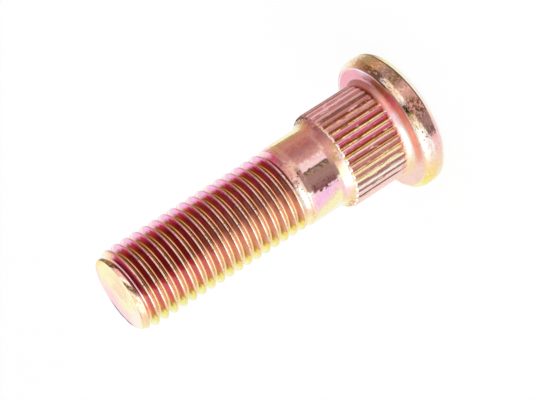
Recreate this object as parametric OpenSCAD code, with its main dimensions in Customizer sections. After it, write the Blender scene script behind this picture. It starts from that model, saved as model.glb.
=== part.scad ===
// Wheel stud: a headed, cold-formed steel stud with a press-fit knurl and a rolled thread.
// It stands on the flat outer face of its head, with +Z along its axis to the thread's tip.

/* [Length] */
// Length from the seat under the head to the thread's tip
stud_len = 43.6; // [34:0.1:70]
// Height of the plain shank's end above the seat, where the thread begins
shank_end = 16.1; // [13:0.1:22]

/* [Head] */
// Thickness of the head
head_t = 3.9; // [3.4:0.1:8]
// Largest diameter of the head
head_d = 20; // [19.6:0.1:28]
// Diameter of the flat seat under the head
seat_d = 18.4; // [17.4:0.1:19.2]
// Height of the rounded rim on the seat's side
rim_top_h = 1.2; // [0.5:0.1:1.4]
// Height of the rounded rim on the outer face's side
rim_base_h = 1.6; // [0.8:0.1:1.8]
// Width of the rounded rim on the outer face's side
rim_base_w = 2.4; // [1:0.1:4]
// Radius of the fillet where the seat meets the knurled neck
seat_fillet = 1.1; // [0.6:0.05:1.2]

/* [Knurl] */
// Diameter over the knurl's ridges, the press-fit size
knurl_d = 14.3; // [14:0.05:15.2]
// Height of a ridge above the bottom of its grooves
ridge_h = 0.36; // [0.25:0.01:0.45]
// Number of ridges round the neck
ridge_n = 36; // [24:1:38]
// Width of a half-round ridge at its foot
ridge_w = 1.02; // [0.8:0.02:1.04]
// Height of the knurl's head end above the seat
knurl_start = 0.9; // [0.5:0.05:2]
// Height of the knurl's outer end above the seat
knurl_end = 9.7; // [8:0.1:10.4]
// Length over which a ridge rises at each of its ends
ridge_rise = 0.7; // [0.4:0.05:1.2]
// Turn of the knurl about the axis
knurl_turn = -3; // [-5:0.5:5]

/* [Shank] */
// Diameter of the plain shank
shank_d = 12.1; // [12:0.05:12.6]
// Height above the seat at which the cone under the knurl reaches the shank
cone_end = 10.8; // [10.6:0.1:12.4]
// Height of the bevel at the shank's threaded end
shank_bevel = 0.2; // [0.15:0.05:0.4]

/* [Thread] */
// Major diameter of the thread
thread_d = 11.85; // [11.7:0.01:11.9]
// Pitch of the thread
pitch = 1.5; // [1:0.25:1.75]
// Diameter of the flat face at the tip
tip_d = 10.5; // [10.2:0.1:11]
// Length of the taper at the tip
tip_taper = 1.8; // [1.2:0.1:2.4]
// Length over which the thread reaches its full depth after the shank
thread_fade = 2.6; // [1.5:0.1:5]
// Turn of the thread about the axis
thread_turn = 15; // [-180:5:180]

/* [Hidden] */
zinc = "#d9b58c";
round_fn = 60;
arc_steps = 6;

head_r = head_d / 2;
seat_r = seat_d / 2;
knurl_r = knurl_d / 2;
neck_r = knurl_r - ridge_h;
shank_r = shank_d / 2;
thread_r = thread_d / 2;
tip_r = tip_d / 2;
seat_z = head_t;
tip_z = seat_z + stud_len;
thread_z = seat_z + shank_end;
// Angle of its ellipse at which the rim leaves the seat, which leaves a crisp edge there
rim_start = 40;
// A ridge's feet go this far into the neck
ridge_sink = 0.06;
// Flat step that the shank's bevel leaves round the thread
bevel_step = 0.04;

// Rounded rims, from the outer face's edge to the largest diameter and on to the seat's edge
function rim_base() = [for (i = [0:arc_steps]) let (a = 90 * i / arc_steps)
    [head_r - rim_base_w * (1 - sin(a)), rim_base_h * (1 - cos(a))]];
function rim_top() = [for (i = [0:arc_steps]) let (a = 90 - (90 - rim_start) * i / arc_steps)
    [seat_r + (head_r - seat_r) * (sin(a) - sin(rim_start)) / (1 - sin(rim_start)),
     seat_z - rim_top_h * (1 - cos(a) / cos(rim_start))]];
// Concave fillet from the seat up to the neck
function fillet() = [for (i = [0:arc_steps]) let (a = 90 * i / arc_steps)
    [neck_r + seat_fillet * (1 - sin(a)), seat_z + seat_fillet * (1 - cos(a))]];

// Head, neck and plain shank, turned about the axis
module blank() {
    rotate_extrude($fn = round_fn)
        polygon(concat([[0, 0]], rim_base(), rim_top(), fillet(), [
            [neck_r, seat_z + knurl_end],
            [shank_r, seat_z + cone_end],
            [shank_r, thread_z - shank_bevel],
            [thread_r + bevel_step, thread_z],
            [0, thread_z]]));
}

// One ridge's outline across the axis: a half ellipse on feet that reach into the neck
function ridge(turn) =
    let (crown = [for (i = [0:arc_steps]) let (a = 180 * i / arc_steps)
             [neck_r + ridge_h * sin(a), -ridge_w / 2 * cos(a)]],
         foot_r = neck_r - ridge_sink,
         outline = concat([[foot_r, -ridge_w / 2]], crown, [[foot_r, ridge_w / 2]]))
    [for (p = outline) [p.x * cos(turn) - p.y * sin(turn), p.x * sin(turn) + p.y * cos(turn)]];

// Rounded end of the ridges: a quarter ellipse that dives into the neck at height z
function ridge_end(z, rise) = [for (i = [0:arc_steps]) let (a = 90 * i / arc_steps)
    [neck_r - ridge_sink / 2 + (ridge_h + ridge_sink) * sin(a), z + rise * (1 - cos(a))]];
function reversed(list) = [for (i = [len(list) - 1:-1:0]) list[i]];

// Press-fit knurl: straight ridges with rounded ends
module knurl() {
    low = seat_z + knurl_start;
    high = seat_z + knurl_end;
    intersection() {
        translate([0, 0, seat_z])
            linear_extrude(knurl_end + ridge_rise)
                polygon([for (k = [0:ridge_n - 1]) each ridge(knurl_turn + 360 * k / ridge_n)]);
        rotate_extrude($fn = round_fn)
            polygon(concat([[0, low]], ridge_end(low, ridge_rise),
                           reversed(ridge_end(high, -ridge_rise)), [[0, high]]));
    }
}

// Thread profile: 60 degree flanks with a flat of an eighth of the pitch at the crest, and the
// standard depth. Its four corners lie at these shares of a pitch from the crest's middle.
turn_n = 36;
corners = [-1 / 16, 1 / 16, 5 / 12, 7 / 12];
corner_n = len(corners);
flank = tan(60);
thread_depth = flank * pitch * (corners[2] - corners[1]);
taper = (thread_r - tip_r) / tip_taper;
turns = ceil((tip_z - thread_z) / pitch) + 2;
last_row = (turns + 1) * corner_n;

// Radius of the taper at height z, depth of the groove there, and the helix's own height
function taper_r(z) = min(thread_r, tip_r + taper * (tip_z - z));
function depth(z) = thread_depth * max(0, min(1, (z - thread_z) / thread_fade));
function helix_z(row, i) =
    tip_z + pitch * (floor(row / corner_n) - turns + corners[row % corner_n] + i / turn_n);

// How far a crest's corner slides down its flank, to where the taper meets the flank
function slide(z, slope) =
    min((thread_r - taper_r(z)) / slope, 0.95 * pitch * (corners[2] - corners[1]));
// A corner of the profile as [radius, height]
function corner(row, i) =
    let (z = helix_z(row, i), kind = row % corner_n,
         dz = kind == 0 ? -slide(z, flank + taper) : kind == 1 ? slide(z, flank - taper) : 0)
    kind < 2 ? [min(taper_r(z + dz), thread_r - flank * abs(dz)), z + dz] :
    [min(taper_r(z), thread_r - depth(z)), z];

// Edge of the tip's face in column i, where the groove runs out through the face
function face_r(i) =
    let (share = i / turn_n, off = pitch * min(share, 1 - share))
    min(tip_r, thread_r - min(thread_depth, flank * max(0, off - corners[1] * pitch)));
function round_trip(r, z, i) =
    let (turn = thread_turn + 360 * i / turn_n) [r * cos(turn), r * sin(turn), z];

// Points row by row, then the shank's end of the thread, then the tip's face
thread_points = concat(
    [for (row = [0:last_row], i = [0:turn_n - 1]) let (c = corner(row, i)) round_trip(c[0], c[1], i)],
    [for (i = [0:turn_n - 1]) round_trip(thread_r, thread_z, i)],
    [for (i = [0:turn_n - 1]) round_trip(face_r(i), tip_z, i)]);
shank_ring = (last_row + 1) * turn_n;
tip_ring = shank_ring + turn_n;

// Number of the point of a row and column; past either end it is a point of that end's ring
function point_no(row, i) = i == turn_n ? point_no(row + corner_n, 0) :
    let (z = corner(row, i)[1])
    z <= thread_z ? shank_ring + i : z >= tip_z ? tip_ring + i : row * turn_n + i;
function distinct(t) = t[0] != t[1] && t[1] != t[2] && t[2] != t[0];

// Rolled thread: a helix of profile corners, closed by a flat face at each end
module thread() {
    sides = [for (row = [0:last_row - 1], i = [0:turn_n - 1])
        let (a = point_no(row, i), b = point_no(row, i + 1),
             c = point_no(row + 1, i + 1), d = point_no(row + 1, i))
        each [[a, d, c], [a, c, b]]];
    shank_face = [for (i = [0:turn_n - 1]) shank_ring + i];
    tip_face = [for (i = [turn_n - 1:-1:0]) tip_ring + i];
    polyhedron(thread_points, concat([for (t = sides) if (distinct(t)) t], [shank_face, tip_face]));
}

// One cold-formed piece: blank, knurl and thread
module wheel_stud() {
    color(zinc) {
        blank();
        knurl();
        thread();
    }
}

wheel_stud();
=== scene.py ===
import math

import bmesh
import bpy
from mathutils import Matrix, Vector, noise


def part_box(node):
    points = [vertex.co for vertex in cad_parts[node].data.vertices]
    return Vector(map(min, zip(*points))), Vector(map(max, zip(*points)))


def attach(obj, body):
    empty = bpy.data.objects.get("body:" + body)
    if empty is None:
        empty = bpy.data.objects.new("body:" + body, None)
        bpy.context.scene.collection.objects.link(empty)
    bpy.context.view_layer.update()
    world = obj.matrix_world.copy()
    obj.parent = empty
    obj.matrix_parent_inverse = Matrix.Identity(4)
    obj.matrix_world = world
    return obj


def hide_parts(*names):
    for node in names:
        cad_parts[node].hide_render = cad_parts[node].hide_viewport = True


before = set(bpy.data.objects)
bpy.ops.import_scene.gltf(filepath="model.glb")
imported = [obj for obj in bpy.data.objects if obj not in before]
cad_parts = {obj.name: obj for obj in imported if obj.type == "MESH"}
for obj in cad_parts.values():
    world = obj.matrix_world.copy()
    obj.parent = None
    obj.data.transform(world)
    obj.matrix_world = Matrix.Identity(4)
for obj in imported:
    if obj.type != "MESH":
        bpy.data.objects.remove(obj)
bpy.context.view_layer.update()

# The stud is one piece of steel. A cold header upsets one end of a length of wire into the flat
# round head, and sizes the neck and the plain shank above it in the same blows. The rims stay
# round from the die, and only the seat under the head is coined flat, up to a crisp edge.
mm = 0.001
low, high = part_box("wheel_stud")
tip_z = high.z / mm
head_r = high.x / mm
seat_z = 3.9
seat_r = 9.2
rim_top_h = 1.2
rim_start = math.radians(40)
rim_base_h = 1.6
rim_base_w = 2.4
seat_fillet = 1.1
neck_r = 6.79
knurl_start = seat_z + 0.9
knurl_end = seat_z + 9.7
cone_end = seat_z + 10.8
shank_r = 6.05
shank_bevel = 0.2
thread_z = seat_z + 16.1
thread_r = 5.925
turn_steps = 720
arc_steps = 8
edge_round = 0.1
# Distance from an edge at which a flat face starts to shade as flat
support = 0.05
# Flat step that the shank's bevel leaves round the thread
bevel_step = 0.02
# Points nearer to each other than this are one point
weld = 0.002


def arc(centre_r, centre_z, width, height, start, end):
    """Points of an ellipse's arc in the profile, from the start angle to the end angle."""
    angles = [start + (end - start) * i / arc_steps for i in range(arc_steps + 1)]
    return [(centre_r + width * math.cos(t), centre_z + height * math.sin(t)) for t in angles]


# Rows of points along the neck, close together where the knurl's ridges rise and end
ridge_rise = 0.7
end_rows = [ridge_rise * (1 - math.cos(math.pi / 2 * i / arc_steps)) for i in range(arc_steps + 1)]
middle_rows = 8
middle_low = knurl_start + ridge_rise
middle_high = knurl_end - ridge_rise
neck_rows = [knurl_start + rise for rise in end_rows]
neck_rows += [middle_low + (middle_high - middle_low) * i / middle_rows for i in range(1, middle_rows)]
neck_rows += [knurl_end - rise for rise in reversed(end_rows)]

rim_top_w = (head_r - seat_r) / (1 - math.sin(rim_start))
outline = [(0, 0), (head_r - rim_base_w - support, 0)]
outline += arc(head_r - rim_base_w, rim_base_h, rim_base_w, rim_base_h, -math.pi / 2, 0)
outline += arc(head_r - rim_top_w, seat_z - rim_top_h, rim_top_w, rim_top_h / math.cos(rim_start),
               0, math.pi / 2 - rim_start)
outline += [(seat_r - edge_round - support, seat_z), (neck_r + seat_fillet + support, seat_z)]
outline += arc(neck_r + seat_fillet, seat_z + seat_fillet, seat_fillet, seat_fillet,
               -math.pi / 2, -math.pi)
outline += [(neck_r, z) for z in neck_rows if z > seat_z + seat_fillet]
shank_rows = 3
outline += [(shank_r, cone_end + (thread_z - shank_bevel - cone_end) * i / shank_rows)
            for i in range(shank_rows + 1)]
outline += [(thread_r + bevel_step, thread_z)]

bm = bmesh.new()
profile = [bm.verts.new((r * mm, 0, z * mm)) for r, z in outline]
for first, second in zip(profile, profile[1:]):
    bm.edges.new((first, second))
rounded = [(seat_r, seat_z), (neck_r, knurl_end), (shank_r, cone_end)]
bends = [v for v in profile if any((v.co / mm - Vector((r, 0, z))).length < weld for r, z in rounded)]
bmesh.ops.bevel(bm, geom=bends, offset=edge_round * mm, segments=3, profile=0.5,
                affect="VERTICES", material=-1)
bmesh.ops.spin(bm, geom=bm.verts[:] + bm.edges[:], cent=(0, 0, 0), axis=(0, 0, 1),
               angle=2 * math.pi, steps=turn_steps, use_merge=True)
bmesh.ops.remove_doubles(bm, verts=bm.verts[:], dist=weld * mm)

# The knurl. Straight ridges are rolled into the neck, and bite into the hub's hole when the stud
# is pressed in. Each is half round with a bullet nose, and dives into the neck at both ends.
ridge_n = 36
ridge_h = 0.36
ridge_turn = math.radians(-3)
ridge_half = 0.51
pitch_turn = 2 * math.pi / ridge_n
# The ridges waver sideways by this much, over this length, each in its own part of the noise
ridge_wander = 0.05
wander_length = 3
wander_step = 1.7


def ridge_height(offset, z):
    """Height of a ridge at this distance from its middle, lowered towards its two ends."""
    across = math.sqrt(max(0, 1 - (offset / ridge_half) ** 2))
    end = min(1, max(0, min(z - knurl_start, knurl_end - z) / ridge_rise))
    dive = 1 - math.sqrt(1 - (1 - end) ** 2)
    return ridge_h * max(0, across - dive)


for v in bm.verts:
    z = v.co.z / mm
    radius = math.hypot(v.co.x, v.co.y) / mm
    if knurl_start < z < knurl_end and radius < neck_r + seat_fillet:
        turn = (math.atan2(v.co.y, v.co.x) - ridge_turn) / pitch_turn
        offset = (turn - round(turn)) * pitch_turn * neck_r
        wander = noise.noise(Vector((round(turn) * wander_step, z / wander_length, 0))) * ridge_wander
        grown = max(radius, neck_r + ridge_height(offset + wander, z))
        v.co.x *= grown / radius
        v.co.y *= grown / radius

# The thread. It is rolled, not cut, on a stretch of the blank turned a little thinner: the dies
# press the grooves in and squeeze the crests up round. One wire of the profile is swept through
# one turn while it climbs one pitch, so that its turns join up into the helix.
pitch = 1.5
thread_depth = 0.92
crest_flat = 1 / 8
root_flat = 1 / 6
crest_turn = math.radians(2)
tip_r = 5.25
tip_taper = 1.8
thread_fade = 2.3
thread_steps = 120
crest_round = 0.07
root_round = 0.12

crest_z = tip_z + pitch * crest_turn / (2 * math.pi)
spare_turns = 2
first_turn = math.floor((thread_z - crest_z) / pitch) - spare_turns
last_turn = math.ceil((tip_z - crest_z) / pitch) + spare_turns
root_r = thread_r - thread_depth
corners = []
for k in range(first_turn, last_turn):
    z = crest_z + k * pitch
    corners += [(thread_r, z - pitch * crest_flat / 2), (thread_r, z + pitch * crest_flat / 2),
                (root_r, z + pitch * (1 - root_flat) / 2), (root_r, z + pitch * (1 + root_flat) / 2)]

thread = bmesh.new()
wire = [thread.verts.new((r * mm, 0, z * mm)) for r, z in corners]
for first, second in zip(wire, wire[1:]):
    thread.edges.new((first, second))
flanks = [e for e in thread.edges if abs(e.verts[0].co.x - e.verts[1].co.x) > weld * mm]
bmesh.ops.subdivide_edges(thread, edges=flanks, cuts=2)
crests = [v for v in thread.verts if v.co.x > (thread_r - weld) * mm and len(v.link_edges) == 2]
bmesh.ops.bevel(thread, geom=crests, offset=crest_round * mm, segments=2, profile=0.5,
                affect="VERTICES", material=-1)
roots = [v for v in thread.verts if v.co.x < (root_r + weld) * mm and len(v.link_edges) == 2]
bmesh.ops.bevel(thread, geom=roots, offset=root_round * mm, segments=3, profile=0.5,
                affect="VERTICES", material=-1)
bmesh.ops.spin(thread, geom=thread.verts[:] + thread.edges[:], cent=(0, 0, 0), axis=(0, 0, 1),
               dvec=(0, 0, pitch * mm / thread_steps), angle=2 * math.pi, steps=thread_steps)
bmesh.ops.remove_doubles(thread, verts=thread.verts[:], dist=weld * mm)

for v in thread.verts:
    radius = math.hypot(v.co.x, v.co.y) / mm
    z = v.co.z / mm
    fade = min(1, max(0, (z - thread_z) / thread_fade))
    shaped = thread_r - (thread_r - radius) * fade
    shaped = min(shaped, tip_r + (thread_r - tip_r) * max(0, tip_z - z) / tip_taper)
    v.co.x *= shaped / radius
    v.co.y *= shaped / radius

everything = thread.verts[:] + thread.edges[:] + thread.faces[:]
bmesh.ops.bisect_plane(thread, geom=everything, plane_co=(0, 0, thread_z * mm), plane_no=(0, 0, 1),
                       clear_inner=True)
everything = thread.verts[:] + thread.edges[:] + thread.faces[:]
bmesh.ops.bisect_plane(thread, geom=everything, plane_co=(0, 0, tip_z * mm), plane_no=(0, 0, 1),
                       clear_outer=True)
tip_edges = [e for e in thread.edges if e.is_boundary and e.verts[0].co.z > (tip_z - pitch) * mm]
bmesh.ops.holes_fill(thread, edges=tip_edges, sides=0)

# Two small knocks, in the tip's edge and in a crest: turn in degrees, radius, height, size, depth
knocks = [(127, tip_r, tip_z, 0.5, 0.18), (-133, thread_r, seat_z + 26.8, 0.4, 0.15)]
for degrees, radius, z, size, depth in knocks:
    turn = math.radians(degrees)
    centre = Vector((radius * math.cos(turn), radius * math.sin(turn), z))
    for v in thread.verts:
        near = 1 - (v.co / mm - centre).length / size
        if near > 0:
            pushed = 1 - depth * near / radius
            v.co.x *= pushed
            v.co.y *= pushed

# Blank and thread become one mesh, joined at the shank's end
threaded = bpy.data.meshes.new("threaded_end")
thread.to_mesh(threaded)
thread.free()
bm.from_mesh(threaded)
bpy.data.meshes.remove(threaded)
joint = [e for e in bm.edges if e.is_boundary]
bmesh.ops.bridge_loops(bm, edges=joint)
bmesh.ops.recalc_face_normals(bm, faces=bm.faces[:])

# Each face's place in the list of materials: thread, shank, knurl, head, tip
for face in bm.faces:
    middle = face.calc_center_median() / mm
    if middle.z > tip_z - weld:
        face.material_index = 4
    elif middle.z > thread_z:
        face.material_index = 0
    elif middle.z > knurl_end:
        face.material_index = 1
    elif middle.z > knurl_start:
        face.material_index = 2
    else:
        face.material_index = 3

mesh = bpy.data.meshes.new("stud")
bm.to_mesh(mesh)
bm.free()
mesh.shade_smooth()
mesh.set_sharp_from_angle(angle=math.radians(50))
stud = bpy.data.objects.new("stud", mesh)
bpy.context.scene.collection.objects.link(stud)

# The finish is a thin coat of bright zinc under a yellow chromate film. The film is about as thick
# as a wave of light is long, so it shows a colour of its own wherever its thickness or the light
# changes: straw and lime where it is thin, then pink and lilac, then crimson, brown and olive.
# The colours laid out round the stud also hold painted light: pale painted reflections of bright
# surroundings towards its sides, darker painted reflections of dark ones towards its front, and
# painted highlights and shade in places.
film = {
    "white": "#faf8f4", "ivory": "#fdf4e2", "butter": "#fcf4bc", "lime": "#ecf480", "lemon": "#f8f080",
    "maize": "#fcdc74", "cream": "#fbdcb0", "apricot": "#fdb488", "gold": "#dca45c", "amber": "#c08034",
    "tan": "#caa06e", "ochre": "#b0885c", "olive": "#94743c", "bronze": "#7a5030", "sepia": "#54381c",
    "soot": "#2c2414", "umber": "#6c4c40", "russet": "#8c3c20", "rust": "#b4502e", "sienna": "#b47458",
    "clay": "#c87c60", "salmon": "#f09c86", "melon": "#fdaa9c", "peach": "#f2c0aa", "shell": "#fbd8cc",
    "flesh": "#e6a69c", "dusty": "#dc9c90", "rose": "#c88880", "brick": "#b46a66", "coral": "#e0706a",
    "ember": "#e85a60", "scarlet": "#c85a72", "cerise": "#e07a98", "fuchsia": "#e85890",
    "magenta": "#ce3476", "crimson": "#bc3a5c", "wine": "#741c34", "dusk": "#905458",
    "mauve": "#a87874", "taupe": "#a8847a", "blush": "#fed0da", "pink": "#fab4c2",
    "orchid": "#fa9ed0", "lilac": "#fcc2ec",
}


def linear(code):
    """An sRGB hex colour as linear RGBA."""
    parts = [int(code[i:i + 2], 16) / 255 for i in (1, 3, 5)]
    return [c / 12.92 if c <= 0.04045 else ((c + 0.055) / 1.055) ** 2.4 for c in parts] + [1]


def turn_at(degrees):
    """Where an angle round the stud, counted from its front, lies on the films' scale of 0 to 1."""
    return 0.5 + degrees / 180


def add(tree, kind, links=None, stops=(), **settings):
    """A node with its settings, its inputs set or linked, and a ramp's stops."""
    made = tree.nodes.new(kind)
    for name, value in settings.items():
        setattr(made, name, value)
    for name, value in (links or {}).items():
        if isinstance(value, bpy.types.NodeSocket):
            tree.links.new(value, made.inputs[name])
        else:
            made.inputs[name].default_value = value
    for i, (place, colour) in enumerate(stops):
        ramp = made.color_ramp.elements
        stop = ramp[i] if i < 2 else ramp.new(place)
        stop.position = place
        stop.color = linear(colour)
    return made


class Plate:
    """Yellow passivated zinc on steel: its node tree, and what the film's colours are laid out by.

    The edges of its bands fray by the ragged number of degrees, and wander by the drift's.
    """

    def __init__(self, name, rough=0.25, ragged=3.0, drift=3.0):
        self.material = bpy.data.materials.new(name)
        self.material.use_nodes = True
        self.tree = tree = self.material.node_tree
        self.shader = tree.nodes["Principled BSDF"]
        coordinate = add(tree, "ShaderNodeTexCoord").outputs
        self.place = add(tree, "ShaderNodeMapping", {"Vector": coordinate["Object"],
                                                     "Scale": (1 / mm, 1 / mm, 1 / mm)}).outputs[0]
        self.axes = add(tree, "ShaderNodeSeparateXYZ", {0: self.place}).outputs
        self.z = self.axes["Z"]
        flat = add(tree, "ShaderNodeCombineXYZ", {"X": self.axes["X"], "Y": self.axes["Y"]}).outputs[0]
        self.radius = add(tree, "ShaderNodeVectorMath", {0: flat}, operation="LENGTH").outputs["Value"]
        normal = add(tree, "ShaderNodeSeparateXYZ", {0: coordinate["Normal"]}).outputs
        self.slope = normal["Z"]
        across = add(tree, "ShaderNodeVectorMath", {0: self.place, 1: coordinate["Normal"]},
                     operation="CROSS_PRODUCT").outputs[0]
        lean = add(tree, "ShaderNodeSeparateXYZ", {0: across}).outputs["Z"]
        self.side = add(tree, "ShaderNodeMath", {0: lean, 1: self.radius}, operation="DIVIDE").outputs[0]
        self.cloud = add(tree, "ShaderNodeTexNoise", {"Vector": self.place, "Scale": 0.5, "Detail": 4.0,
                                                      "Roughness": 0.6}).outputs["Fac"]
        fray = add(tree, "ShaderNodeTexNoise", {"Vector": self.place, "Scale": 2.5, "Detail": 3.0,
                                                "Roughness": 0.6}).outputs["Fac"]
        self.grain = add(tree, "ShaderNodeTexNoise", {"Vector": self.place, "Scale": 4.5, "Detail": 2.0,
                                                      "Roughness": 0.7}).outputs["Fac"]
        # Place round the stud, frayed and drifting: 0 is its left side, 0.5 its front, 1 its right
        behind = add(tree, "ShaderNodeMath", {0: self.axes["Y"]}, operation="ABSOLUTE").outputs[0]
        angle = add(tree, "ShaderNodeMath", {0: self.axes["X"], 1: behind}, operation="ARCTAN2").outputs[0]
        turn = add(tree, "ShaderNodeMath", {0: angle, 1: 1 / math.pi, 2: 0.5 - (ragged + drift) / 180},
                   operation="MULTIPLY_ADD").outputs[0]
        turn = add(tree, "ShaderNodeMath", {0: fray, 1: 2 * ragged / 180, 2: turn},
                   operation="MULTIPLY_ADD").outputs[0]
        self.turn = add(tree, "ShaderNodeMath", {0: self.cloud, 1: 2 * drift / 180, 2: turn},
                        operation="MULTIPLY_ADD").outputs[0]
        bump = add(tree, "ShaderNodeBump", {"Height": self.grain, "Strength": 0.3, "Distance": 0.02 * mm})
        tree.links.new(bump.outputs[0], self.shader.inputs["Normal"])
        dull = add(tree, "ShaderNodeMapRange", {"Value": self.cloud, "From Min": 0.35, "From Max": 0.65,
                                                "To Min": rough - 0.05, "To Max": rough + 0.08})
        tree.links.new(dull.outputs[0], self.shader.inputs["Roughness"])
        self.shader.inputs["Metallic"].default_value = 1

    def round_stud(self, *stops, slant=0.0, start=0.0):
        """The film's colours, with painted reflections, by degrees round the stud, 0 at its front,
        slanting by degrees a mm.
        """
        place = self.turn
        if slant:
            shift = add(self.tree, "ShaderNodeMath", {0: self.z, 1: slant / 180, 2: -slant * start / 180},
                        operation="MULTIPLY_ADD").outputs[0]
            place = add(self.tree, "ShaderNodeMath", {0: shift, 1: place}, operation="ADD").outputs[0]
        stops = [(turn_at(degrees), film[name]) for degrees, name in stops]
        return add(self.tree, "ShaderNodeValToRGB", {"Fac": place}, stops).outputs["Color"]

    def between(self, value, start, end, before, after):
        """The colour before, which turns to the colour after as the value goes from start to end."""
        share = add(self.tree, "ShaderNodeMapRange", {"Value": value, "From Min": start, "From Max": end},
                    interpolation_type="SMOOTHSTEP").outputs[0]
        return add(self.tree, "ShaderNodeMix", {"Factor": share, "A": before, "B": after},
                   data_type="RGBA").outputs["Result"]

    def patches(self, size, share, colour, other, along=1.0):
        """The colour, with ragged patches of the other one: size in mm, drawn out along the stud."""
        scale = (1 / size, 1 / size, 1 / (size * along))
        place = add(self.tree, "ShaderNodeMapping", {"Vector": self.place, "Scale": scale}).outputs[0]
        spots = add(self.tree, "ShaderNodeTexNoise", {"Vector": place, "Scale": 1.0, "Detail": 4.0,
                                                      "Roughness": 0.7}).outputs["Fac"]
        return self.between(spots, 0.62 - share / 4, 0.72 - share / 4, colour, other)

    def cover(self, colour, speck=0.4):
        """The finished material, with the film's fine dark specks."""
        spots = add(self.tree, "ShaderNodeMapRange", {"Value": self.grain, "From Min": 0.56,
                                                      "From Max": 0.74, "To Min": 1.0,
                                                      "To Max": 1 - speck}).outputs[0]
        spotted = add(self.tree, "ShaderNodeVectorMath", {0: colour, "Scale": spots}, operation="SCALE")
        self.tree.links.new(spotted.outputs[0], self.shader.inputs["Base Color"])
        return self.material


# Film on the rolled thread, with painted light and shade in its grooves: the flanks that face the tip
# show rose and crimson, the ones behind them cream and olive in painted shade, and the roots apricot
# and gold as a painted highlight, all of them deeper towards the tip. The pale crests are a painted
# highlight.
zinc = Plate("yellow_zinc_on_rolled_thread")
deeper_from = tip_z - 17
deeper_to = tip_z - 8
last_from = tip_z - 1.7
last_to = tip_z - 1.4
# Flanks facing the tip: crimson towards the front is a painted reflection of dark surroundings, the pale
# straw and lilac at the sides painted reflections of bright ones
outer = zinc.round_stud((-90, "butter"), (-80, "butter"), (-73, "lemon"), (-67, "maize"),
                        (-62, "maize"), (-57, "gold"), (-52, "flesh"), (-28, "flesh"), (-20, "rose"),
                        (-14, "sienna"), (-4, "dusty"), (6, "flesh"), (20, "scarlet"),
                        (30, "fuchsia"), (44, "fuchsia"), (50, "crimson"), (56, "crimson"),
                        (61, "orchid"), (68, "lilac"), (76, "lilac"), (84, "blush"), (90, "white"))
inner = zinc.round_stud((-90, "lemon"), (-78, "lemon"), (-71, "maize"), (-64, "amber"), (-57, "amber"),
                        (-52, "clay"), (-42, "flesh"), (-28, "salmon"), (-20, "dusty"), (-6, "dusty"),
                        (8, "clay"), (18, "rust"), (28, "ember"), (54, "ember"), (59, "rust"),
                        (63, "rust"), (67, "dusty"), (76, "pink"), (90, "blush"))
tip_outer = zinc.round_stud((-90, "butter"), (-80, "butter"), (-74, "lime"), (-67, "lime"),
                            (-63, "lemon"), (-59, "maize"), (-54, "amber"), (-49, "coral"),
                            (-30, "cerise"), (-22, "cerise"), (-18, "crimson"), (-6, "crimson"),
                            (8, "magenta"), (50, "magenta"), (57, "crimson"), (61, "orchid"),
                            (70, "lilac"), (84, "blush"), (90, "white"))
tip_inner = zinc.round_stud((-90, "lime"), (-77, "lime"), (-70, "maize"), (-64, "amber"), (-57, "amber"),
                            (-52, "salmon"), (-30, "cerise"), (-22, "cerise"), (-17, "crimson"),
                            (20, "crimson"), (32, "ember"), (54, "ember"), (59, "rust"), (63, "rust"),
                            (67, "scarlet"), (76, "pink"), (90, "blush"))
# The roots' apricot and gold are a painted highlight
root_highlight = zinc.round_stud((-90, "lemon"), (-80, "maize"), (-70, "cream"), (-16, "cream"), (-4, "apricot"),
                         (26, "apricot"), (38, "gold"), (48, "amber"), (66, "bronze"), (76, "dusty"),
                         (90, "shell"))
# The flanks behind the crests, facing the head, are painted shade, darkening towards the tip
behind = zinc.round_stud((-90, "ivory"), (-66, "butter"), (-50, "cream"), (-40, "cream"), (-16, "shell"),
                         (-4, "taupe"), (24, "taupe"), (42, "olive"), (60, "olive"), (66, "clay"),
                         (74, "shell"), (90, "white"))
tip_behind = zinc.round_stud((-90, "ivory"), (-66, "butter"), (-50, "cream"), (-22, "cream"),
                             (-16, "peach"), (-11, "ochre"), (0, "olive"), (30, "olive"),
                             (42, "bronze"), (54, "olive"), (62, "clay"), (74, "shell"), (90, "white"))
behind = zinc.between(zinc.z, deeper_from, deeper_to, behind, tip_behind)
# Painted shade on the flanks that face the head, near the crest and in the root
lip_shade = zinc.round_stud((-90, "ivory"), (-66, "butter"), (-40, "cream"), (-16, "peach"), (-6, "bronze"),
                      (2, "sepia"), (48, "sepia"), (58, "ochre"), (70, "peach"), (90, "white"),
                      slant=0.5, start=seat_z + 27)
# A painted dark line beside each crest's painted highlight
brow_shade = zinc.round_stud((-90, "butter"), (-74, "lemon"), (-63, "maize"), (-57, "gold"), (-50, "flesh"),
                       (-30, "dusty"), (-16, "bronze"), (4, "umber"), (16, "dusk"), (36, "dusk"),
                       (48, "crimson"), (57, "orchid"), (66, "lilac"), (80, "blush"), (90, "white"))
# The pale crests are a painted highlight
crest = zinc.round_stud((-90, "butter"), (-60, "cream"), (-44, "cream"), (-32, "ivory"), (-24, "ivory"),
                        (-12, "cream"), (-6, "shell"), (4, "peach"), (16, "peach"), (26, "flesh"),
                        (36, "rose"), (50, "clay"), (60, "rose"), (68, "dusty"), (78, "blush"),
                        (90, "white"))
outer = zinc.between(zinc.z, deeper_from, deeper_to, outer, tip_outer)
inner = zinc.between(zinc.z, deeper_from, deeper_to, inner, tip_inner)
flank = zinc.between(zinc.radius, root_r + 0.15, root_r + 0.6, inner, outer)
flank = zinc.between(zinc.radius, thread_r - 0.24, thread_r - 0.14, flank, brow_shade)
last = zinc.round_stud((-90, "butter"), (-72, "lime"), (-60, "cream"), (-46, "apricot"), (-40, "melon"),
                       (-22, "melon"), (-16, "scarlet"), (-6, "crimson"), (44, "crimson"),
                       (50, "scarlet"), (56, "pink"), (66, "cream"), (78, "butter"), (90, "white"))
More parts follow.
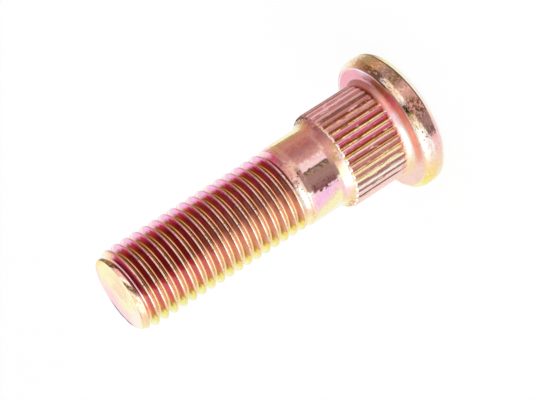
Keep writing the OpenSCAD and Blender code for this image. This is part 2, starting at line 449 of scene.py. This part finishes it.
flank = zinc.between(zinc.z, last_from, last_to, flank, last)
# The whites in the last root are a painted highlight
last_bottom = zinc.round_stud((-90, "white"), (-60, "cream"), (-40, "melon"), (-30, "white"),
                              (-18, "white"), (-8, "blush"), (6, "pink"), (40, "pink"), (60, "cream"),
                              (90, "white"))
root_highlight = zinc.between(zinc.z, last_from, last_to, root_highlight, last_bottom)
behind = zinc.between(zinc.radius, thread_r - 0.55, thread_r - 0.25, behind, lip_shade)
flank = zinc.between(zinc.slope, 0.1, -0.5, flank, behind)
root_highlight = zinc.between(zinc.slope, 0.05, -0.3, root_highlight, lip_shade)
flank = zinc.between(zinc.radius, root_r + 0.16, root_r + 0.04, flank, root_highlight)
# The white on the run-out towards the front left is a painted highlight
run_out = zinc.round_stud((-90, "ivory"), (-66, "butter"), (-54, "cream"), (-44, "shell"), (-34, "white"),
                          (-12, "white"), (-6, "shell"), (0, "rose"), (4, "shell"), (10, "dusty"),
                          (20, "dusty"), (28, "rose"), (30, "dusk"), (32, "rose"), (38, "brick"),
                          (44, "scarlet"), (50, "scarlet"), (58, "pink"), (66, "blush"), (78, "ivory"),
                          (90, "white"))
run_out = zinc.patches(0.35, 0.3, run_out, brow_shade)
flank = zinc.between(zinc.z, thread_z + 1.4, thread_z + 0.8, flank, run_out)
rise = (thread_r - tip_r) / tip_taper
taper = add(zinc.tree, "ShaderNodeMath", {0: zinc.z, 1: -rise, 2: tip_r + rise * tip_z},
            operation="MULTIPLY_ADD").outputs[0]
envelope = add(zinc.tree, "ShaderNodeMath", {0: taper, 1: thread_r}, operation="MINIMUM").outputs[0]
below = add(zinc.tree, "ShaderNodeMath", {0: envelope, 1: zinc.radius}, operation="SUBTRACT").outputs[0]
# The whites on the tip's chamfer are painted highlights
chamfer = zinc.round_stud((-90, "butter"), (-60, "cream"), (-34, "peach"), (-20, "apricot"),
                          (-12, "white"), (-6, "tan"), (0, "sepia"), (5, "olive"), (9, "shell"),
                          (13, "white"), (17, "peach"), (36, "peach"), (39, "soot"), (43, "bronze"),
                          (54, "olive"), (68, "bronze"), (76, "sepia"), (80, "cream"), (90, "ivory"),
                          slant=-24, start=tip_z - 0.3)
chamfer = zinc.patches(0.35, 0.4, chamfer, crest)
crest = zinc.patches(0.3, 0.3, crest, brow_shade)
crest = zinc.between(zinc.z, tip_z - 0.75, tip_z - 0.6, crest, chamfer)
thread_zinc = zinc.cover(zinc.between(below, 0.07, 0.03, flank, crest))

# Film on the plain shank. Smooth and even, it shows broad bands with frayed edges: straw, tan, rose,
# a pale flash that is a painted highlight, a dark patch that is a painted reflection of dark
# surroundings, lilac and straw again. On the cone it runs from dark to pale, with a painted highlight
# towards its front.
zinc = Plate("yellow_zinc_on_plain_shank", ragged=4.0)
# The pale flash at the front is a painted highlight, the dusk, mauve and umber beside it a painted
# reflection of dark surroundings
plain = zinc.round_stud((-90, "white"), (-44, "blush"), (-33, "lilac"), (-28, "blush"), (-25, "dusk"),
                        (-15, "mauve"), (-8, "mauve"), (0, "taupe"), (3, "umber"), (5, "shell"),
                        (13, "shell"), (17, "dusty"), (24, "rose"), (32, "brick"), (42, "brick"),
                        (49, "rose"), (56, "clay"), (65, "tan"), (67, "butter"), (76, "butter"),
                        (84, "ivory"), (90, "white"))
# The pale lilac band on the left side is a painted reflection of bright surroundings
under = zinc.round_stud((-90, "white"), (-76, "ivory"), (-66, "butter"), (-54, "butter"), (-48, "shell"),
                        (-43, "blush"), (-33, "lilac"), (-25, "blush"), (90, "blush"),
                        slant=4, start=thread_z - 2.5)
# The dark patch, laid in ragged spots over the bands, is a painted reflection of dark surroundings
dark_reflection = zinc.round_stud((-90, "white"), (-66, "butter"), (-44, "blush"), (-30, "blush"), (-27, "umber"),
                          (-18, "umber"), (-10, "taupe"), (-2, "olive"), (3, "soot"), (6, "blush"),
                          (14, "pink"), (20, "rose"), (32, "mauve"), (42, "clay"), (52, "clay"),
                          (60, "ochre"), (65, "olive"), (67, "butter"), (90, "white"))
start = zinc.round_stud((-90, "white"), (-78, "ivory"), (-66, "cream"), (-44, "blush"), (-30, "shell"),
                        (-24, "ivory"), (-21, "taupe"), (-8, "taupe"), (0, "dusty"), (10, "dusty"),
                        (18, "peach"), (26, "rose"), (44, "rose"), (56, "clay"), (65, "tan"),
                        (70, "cream"), (80, "ivory"), (90, "white"))
end = zinc.round_stud((-90, "white"), (-66, "butter"), (-46, "shell"), (-34, "blush"), (-24, "white"),
                      (-21, "rose"), (-10, "taupe"), (4, "mauve"), (7, "sepia"), (9, "taupe"),
                      (20, "peach"), (28, "rose"), (40, "rose"), (58, "tan"), (65, "tan"),
                      (68, "cream"), (80, "ivory"), (90, "white"))
end = zinc.patches(0.4, 0.6, end, start)
plain = zinc.patches(0.4, 0.55, plain, dark_reflection)
plain = zinc.between(zinc.turn, turn_at(-29), turn_at(-31), plain, under)
plain = zinc.between(zinc.z, cone_end + 0.8, cone_end + 0.3, plain, start)
plain = zinc.between(zinc.z, thread_z - 0.9, thread_z - 0.5, plain, end)
upper = zinc.round_stud((-90, "butter"), (-78, "butter"), (-66, "cream"), (-55, "shell"), (-44, "blush"),
                        (-34, "shell"), (-24, "cream"), (-16, "cream"), (-8, "peach"), (-2, "tan"),
                        (10, "dusty"), (18, "rose"), (34, "brick"), (44, "rose"), (56, "clay"),
                        (66, "tan"), (80, "cream"), (90, "ivory"))
# On the cone's lower part the white towards the front left is a painted highlight
lower = zinc.round_stud((-90, "gold"), (-78, "gold"), (-62, "cream"), (-46, "cream"), (-38, "shell"),
                        (-20, "shell"), (-12, "ivory"), (-6, "shell"), (4, "peach"), (10, "tan"),
                        (18, "rose"), (26, "mauve"), (42, "dusk"), (60, "brick"), (72, "sienna"),
                        (80, "bronze"), (90, "bronze"))
lower = zinc.patches(0.5, 0.5, lower, upper)
cone = zinc.between(zinc.z, knurl_end + 0.3, cone_end - 0.2, lower, upper)
shank_zinc = zinc.cover(zinc.between(zinc.z, cone_end - 0.1, cone_end + 0.2, cone, plain))

# Film on the knurl, with painted light and shade. Each ridge runs from a russet lower flank in painted
# shade over a rose back to a pink upper flank painted lit, and straw lines the narrow grooves as a
# painted highlight, which draws every ridge out sharply along the stud.
zinc = Plate("yellow_zinc_on_knurl")
top = zinc.round_stud((-90, "shell"), (-70, "shell"), (-64, "wine"), (-58, "dusk"), (-50, "mauve"),
                      (-40, "brick"), (-28, "rose"), (-16, "brick"), (-6, "scarlet"), (16, "scarlet"),
                      (26, "rose"), (34, "brick"), (42, "rose"), (50, "flesh"), (60, "pink"),
                      (70, "dusty"), (90, "dusk"))
# The straw in the grooves is a painted highlight
foot = zinc.round_stud((-90, "white"), (-46, "white"), (-36, "butter"), (-24, "cream"), (-14, "tan"),
                       (-4, "maize"), (6, "butter"), (24, "butter"), (32, "cream"), (40, "tan"),
                       (48, "rose"), (60, "dusty"), (90, "mauve"))
# The ridges' upper flanks are painted lit, pale pink
upper = zinc.round_stud((-90, "shell"), (-60, "shell"), (-48, "ivory"), (-38, "butter"),
                        (-28, "cream"), (-18, "peach"), (-8, "shell"), (4, "pink"), (34, "pink"),
                        (44, "flesh"), (52, "blush"), (62, "blush"), (70, "flesh"), (80, "dusty"),
                        (90, "rose"))
# The ridges' lower flanks are painted shade, russet
lower = zinc.round_stud((-90, "shell"), (-58, "rose"), (-46, "mauve"), (-30, "brick"),
                        (-18, "russet"), (30, "russet"), (42, "umber"), (52, "mauve"), (60, "rose"),
                        (90, "umber"))
faint = zinc.round_stud((-90, "ivory"), (-62, "mauve"), (-40, "dusty"), (-10, "tan"), (30, "ochre"),
                        (44, "rose"), (60, "dusty"), (90, "mauve"))
# The noses facing the tip are painted lit, pale at the front and brown at the top
nose = zinc.round_stud((-90, "ivory"), (-10, "white"), (20, "shell"), (34, "peach"), (48, "dusty"),
                       (62, "umber"), (90, "bronze"))
shade = zinc.round_stud((-90, "cream"), (-30, "white"), (14, "white"), (22, "shell"), (28, "dusty"),
                        (34, "sepia"), (74, "sepia"), (90, "bronze"))
foot = zinc.patches(0.4, 0.5, foot, faint, along=4.0)
ridge = zinc.between(zinc.side, 0.15, 0.4, top, upper)
ridge = zinc.between(zinc.side, -0.2, -0.35, ridge, lower)
ridge = zinc.patches(0.3, 0.2, ridge, faint, along=6.0)
ridge = zinc.patches(0.4, 0.2, ridge, upper, along=5.0)
ridge = zinc.between(zinc.side, -0.8, -0.9, ridge, foot)
ridge = zinc.between(zinc.side, 0.8, 0.9, ridge, foot)
ridge = zinc.between(zinc.radius, neck_r + 0.06, neck_r + 0.02, ridge, foot)
ridge = zinc.between(zinc.z, knurl_start + 0.5, knurl_start + 0.1, ridge, shade)
knurl_zinc = zinc.cover(zinc.between(zinc.slope, 0.25, 0.55, ridge, nose))

# Film on the head. The coined seat is a smooth salmon ring with a pale edge, a painted highlight. The
# rim has brown and olive mottling, partly stains and wear from handling and partly painted reflection
# of dark surroundings, a painted highlight on its shoulder, and one black spot of painted dark
# reflection.
zinc = Plate("yellow_zinc_on_coined_head", rough=0.33, ragged=4.0, drift=5.0)
ring = zinc.round_stud((-90, "shell"), (-58, "shell"), (-30, "melon"), (-18, "melon"), (-8, "salmon"),
                       (6, "salmon"), (10, "cerise"), (15, "cerise"), (22, "rose"), (28, "apricot"),
                       (36, "apricot"), (42, "peach"), (47, "blush"), (56, "blush"), (66, "pink"),
                       (90, "pink"))
# The pale seat edge is a painted highlight
edge = zinc.round_stud((-90, "shell"), (-50, "shell"), (-20, "peach"), (0, "dusty"), (10, "pink"),
                       (17, "dusty"), (21, "shell"), (25, "white"), (60, "white"), (90, "blush"))
# The fillet's white towards the front left is a painted highlight
fillet = zinc.round_stud((-90, "cream"), (-76, "cream"), (-62, "cream"), (-48, "ivory"),
                         (-36, "white"), (-18, "white"), (-8, "shell"), (2, "blush"), (10, "melon"),
                         (24, "melon"), (32, "dusty"), (40, "rose"), (50, "brick"), (90, "brick"))
rim = zinc.round_stud((-90, "butter"), (-78, "butter"), (-68, "butter"), (-58, "cream"), (-46, "shell"),
                      (-34, "blush"), (-28, "pink"), (-25, "taupe"), (-12, "taupe"), (-4, "dusty"),
                      (10, "dusty"), (18, "rose"), (26, "ochre"), (34, "taupe"), (42, "tan"),
                      (48, "tan"), (56, "ochre"), (64, "tan"), (70, "cream"), (80, "ivory"),
                      (90, "white"))
# Dark rim mottling: partly wear, partly a painted reflection of dark surroundings
wear_and_shade = zinc.round_stud((-90, "butter"), (-56, "shell"), (-30, "peach"), (-26, "umber"), (-16, "mauve"),
                       (-6, "umber"), (4, "bronze"), (14, "peach"), (24, "umber"), (40, "mauve"),
                       (46, "clay"), (60, "olive"), (70, "tan"), (80, "ivory"), (90, "white"))
fresh = zinc.round_stud((-90, "butter"), (-34, "blush"), (-26, "peach"), (-16, "rose"), (4, "tan"),
                        (14, "peach"), (26, "tan"), (44, "cream"), (60, "tan"), (72, "ivory"),
                        (90, "white"))
rim = zinc.patches(0.35, 0.7, rim, wear_and_shade, along=0.8)
rim = zinc.patches(0.4, 0.2, rim, fresh, along=0.6)
# A painted highlight on the rim's shoulder, and a black spot that is a painted dark reflection
shoulder_highlight_and_dark_spot = zinc.round_stud((-90, "butter"), (-84, "lemon"), (-66, "maize"), (-50, "cream"), (-36, "white"),
                         (-20, "ivory"), (-10, "cream"), (-5, "ochre"), (-1, "soot"), (4, "soot"),
                         (8, "ivory"), (20, "cream"), (30, "shell"), (35, "umber"), (50, "bronze"),
                         (60, "sienna"), (68, "tan"), (76, "cream"), (90, "white"))
shoulder = zinc.patches(0.6, 0.5, shoulder_highlight_and_dark_spot, rim, along=0.4)
brown = zinc.round_stud((-90, "butter"), (-60, "cream"), (-34, "shell"), (-20, "ivory"), (-8, "shell"),
                        (2, "dusty"), (14, "rose"), (22, "rose"), (26, "sepia"), (36, "umber"),
                        (42, "dusk"), (60, "mauve"), (66, "dusty"), (80, "cream"), (90, "ivory"))
spread = add(zinc.tree, "ShaderNodeMapRange", {"Value": zinc.turn, "From Min": turn_at(-8),
                                               "From Max": turn_at(-34), "To Max": 0.9})
spread = add(zinc.tree, "ShaderNodeMath", {0: zinc.z, 1: spread.outputs[0]}, operation="ADD").outputs[0]
rim = zinc.between(spread, seat_z - 1.0, seat_z - 0.7, rim, shoulder)
rim = zinc.between(zinc.z, seat_z - 0.2, seat_z - 0.12, rim, brown)
# Round the foot of the rim runs a pale band, a painted highlight, behind a fine dark line, both
# higher on the right
band = zinc.round_stud((-90, "lemon"), (-56, "butter"), (-34, "blush"), (-20, "shell"), (-8, "ivory"),
                       (20, "ivory"), (44, "butter"), (52, "cream"), (60, "ochre"), (72, "ochre"),
                       (84, "cream"), (90, "white"))
line = zinc.round_stud((-90, "lemon"), (-56, "butter"), (-24, "blush"), (-12, "dusty"), (0, "umber"),
                       (56, "sepia"), (70, "ochre"), (90, "white"))
lift = add(zinc.tree, "ShaderNodeMapRange", {"Value": zinc.turn, "From Min": turn_at(0),
                                             "From Max": turn_at(45), "To Max": 0.35}).outputs[0]
foot = add(zinc.tree, "ShaderNodeMath", {0: zinc.z, 1: lift}, operation="SUBTRACT").outputs[0]
rim = zinc.between(foot, rim_base_h - 0.3, rim_base_h - 0.45, rim, line)
rim = zinc.between(foot, rim_base_h - 0.5, rim_base_h - 0.65, rim, band)
face = zinc.between(zinc.radius, seat_r - 0.32, seat_r - 0.22, ring, edge)
# The fillet's top, where it meets the knurl, is painted shadow
corner_shadow = zinc.round_stud((-90, "cream"), (-50, "ivory"), (-8, "white"), (4, "blush"), (20, "dusty"),
                         (34, "brick"), (42, "russet"), (70, "russet"), (90, "bronze"))
fillet = zinc.between(zinc.z, seat_z + 0.45, seat_z + 0.8, fillet, corner_shadow)
face = zinc.between(zinc.radius, neck_r + 0.85, neck_r + 0.6, face, fillet)
head_zinc = zinc.cover(zinc.between(zinc.radius, seat_r - 0.02, seat_r + 0.02, face, rim))

# Film on the flat end of the tip. Thin and pale, it goes from straw on the near side to pink on the
# far one, where the knocked edge shows as a fine dark line.
zinc = Plate("yellow_zinc_on_tip")
butter, cream, ivory = [linear(film[name]) for name in ("butter", "cream", "ivory")]
blush, maize = [linear(film[name]) for name in ("blush", "maize")]
face = zinc.patches(4.0, 0.7, butter, cream)
face = zinc.between(zinc.axes["X"], -1.5, -4.0, face, ivory)
face = zinc.between(zinc.axes["Y"], -0.5, 4.0, face, blush)
face = zinc.between(zinc.axes["X"], 0.5, 4.0, face, butter)
face = zinc.between(zinc.axes["X"], 4.2, 5.4, face, maize)
burr = zinc.round_stud((-90, "butter"), (-62, "shell"), (-56, "sepia"), (-10, "umber"), (4, "blush"),
                       (50, "blush"), (90, "maize"))
burr = zinc.between(zinc.radius, tip_r - 0.5, tip_r - 0.44, face, burr)
tip_zinc = zinc.cover(zinc.between(zinc.axes["Y"], 1.5, 2.5, face, burr), speck=0.1)
for made in (thread_zinc, shank_zinc, knurl_zinc, head_zinc, tip_zinc):
    mesh.materials.append(made)

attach(stud, "root")
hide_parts("wheel_stud")

# The floor: a plain white sheet, much wider than the view, which keeps the stud's faint shadow.
floor_mesh = bpy.data.meshes.new("floor")
sheet = bmesh.new()
bmesh.ops.create_grid(sheet, x_segments=1, y_segments=1, size=2)
sheet.to_mesh(floor_mesh)
sheet.free()
floor = bpy.data.objects.new("floor", floor_mesh)
bpy.context.scene.collection.objects.link(floor)
paper = bpy.data.materials.new("white_paper")
paper.use_nodes = True
tree = paper.node_tree
tree.nodes.clear()
path = add(tree, "ShaderNodeLightPath").outputs
seen = add(tree, "ShaderNodeMath", {0: path["Is Camera Ray"], 1: path["Is Glossy Ray"]}, operation="MAXIMUM")
seen = add(tree, "ShaderNodeMath", {0: seen.outputs[0], 1: path["Is Transmission Ray"]}, operation="MAXIMUM")
# The camera sees this much of the lit paper, and with it of the shadow, through the plain white
shadow = 0.06
share = add(tree, "ShaderNodeMath", {0: path["Is Camera Ray"], 1: -shadow, 2: seen.outputs[0]},
            operation="MULTIPLY_ADD").outputs[0]
matt = add(tree, "ShaderNodeBsdfDiffuse", {"Color": linear("#fafafa")}).outputs[0]
white = add(tree, "ShaderNodeEmission", {"Color": (1, 1, 1, 1), "Strength": 1.0}).outputs[0]
mixed = add(tree, "ShaderNodeMixShader", {0: share, 1: matt, 2: white}).outputs[0]
add(tree, "ShaderNodeOutputMaterial", {"Surface": mixed})
floor_mesh.materials.append(paper)

# The light: a pale studio all round, a little darker overhead, and two large soft lamps.
world = bpy.data.worlds.new("studio")
bpy.context.scene.world = world
world.use_nodes = True
tree = world.node_tree
sky = add(tree, "ShaderNodeTexCoord").outputs["Generated"]
height = add(tree, "ShaderNodeSeparateXYZ", {0: sky}).outputs["Z"]
shade = add(tree, "ShaderNodeValToRGB", {"Fac": height},
            [(0, "#ffffff"), (1, "#e4e4e4"), (0.6, "#ffffff"), (0.8, "#e8e8e8")]).outputs["Color"]
tree.links.new(shade, tree.nodes["Background"].inputs["Color"])


def lamp(name, azimuth, elevation, far, size, power):
    """A square soft lamp this far from the stud, turned to it. Azimuth 0 is the camera's side."""
    light = bpy.data.lights.new(name, "AREA")
    light.size = size
    light.energy = power
    made = bpy.data.objects.new(name, light)
    bpy.context.scene.collection.objects.link(made)
    turn, rise = math.radians(azimuth), math.radians(elevation)
    place = Vector((math.sin(turn) * math.cos(rise), -math.cos(turn) * math.cos(rise), math.sin(rise)))
    made.location = place * far
    made.rotation_euler = (-place).to_track_quat("-Z", "Y").to_euler()


lamp("key", -65, 38, 0.5, 0.4, 0.45)
lamp("fill", 30, 45, 0.5, 0.3, 0.08)

# The camera, from a fit of the stud's circles and crests in the photograph: the stud's axis leans
# towards it by the tilt, and lies in the picture at the roll's angle.
focal_px = 1996.7
image_w, image_h = 537, 400
seat_px = (380.27, 127.09)
distance = 272.69
tilt = math.radians(19.262)
roll = math.radians(-32.770)

axis = Vector((-math.cos(tilt) * math.cos(roll), -math.cos(tilt) * math.sin(roll), -math.sin(tilt)))
toward = Vector((0, 0, -1))
front = (toward - axis * axis.dot(toward)).normalized()
side = axis.cross(front)
seat = Vector(((seat_px[0] - image_w / 2) / focal_px * distance,
               (seat_px[1] - image_h / 2) / focal_px * distance, distance))
turned = Matrix((side, -front, axis))
camera = bpy.data.objects.new("camera", bpy.data.cameras.new("camera"))
bpy.context.scene.collection.objects.link(camera)
camera.data.sensor_width = 36
camera.data.lens = focal_px / image_w * camera.data.sensor_width
camera.data.clip_start = 0.01
place = turned @ -seat + Vector((0, 0, seat_z))
look = turned @ Matrix(((1, 0, 0), (0, -1, 0), (0, 0, -1)))
camera.matrix_world = Matrix.Translation(place * mm) @ look.to_4x4()
bpy.context.scene.camera = camera

bpy.context.scene.view_settings.view_transform = "Standard"
